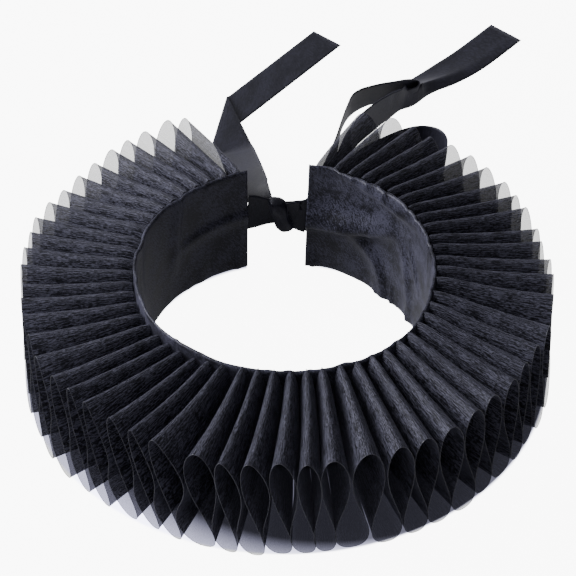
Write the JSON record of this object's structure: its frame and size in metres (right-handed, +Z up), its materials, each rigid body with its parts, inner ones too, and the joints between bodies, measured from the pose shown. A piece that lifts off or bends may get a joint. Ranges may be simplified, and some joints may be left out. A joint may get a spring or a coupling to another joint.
{
  "type": "ruff collar",
  "caption": "Ruff collar of figure-eight organza pleats on a satin neck band, open at the back and closed by a tied ribbon bow with two free tails.",
  "frame": {"origin": "under the middle of the whole box, at the height of the flats of the lower pleats that it rests on; the neck's axis is 59.0 mm in front of it", "axes": "+Z is up, along the neck's axis; the back opening with its ribbon bow is towards +Y and the front of the collar towards -Y"},
  "size_m": [0.2208, 0.3392, 0.0565],
  "materials": {
    "organza": "sheer black organza, stiffened",
    "band_satin": "black satin with a soft sheen",
    "ribbon_satin": "black satin ribbon"
  },
  "bodies": {
    "root": {"neck_band": "band_satin", "ruff_frill": "organza", "tie_left": "ribbon_satin", "tie_right": "ribbon_satin", "tie_knot": "ribbon_satin", "tie_loop_back": "ribbon_satin", "tie_loop_side": "ribbon_satin", "tie_tail_left": "ribbon_satin", "tie_tail_right": "ribbon_satin"}
  },
  "joints": []
}
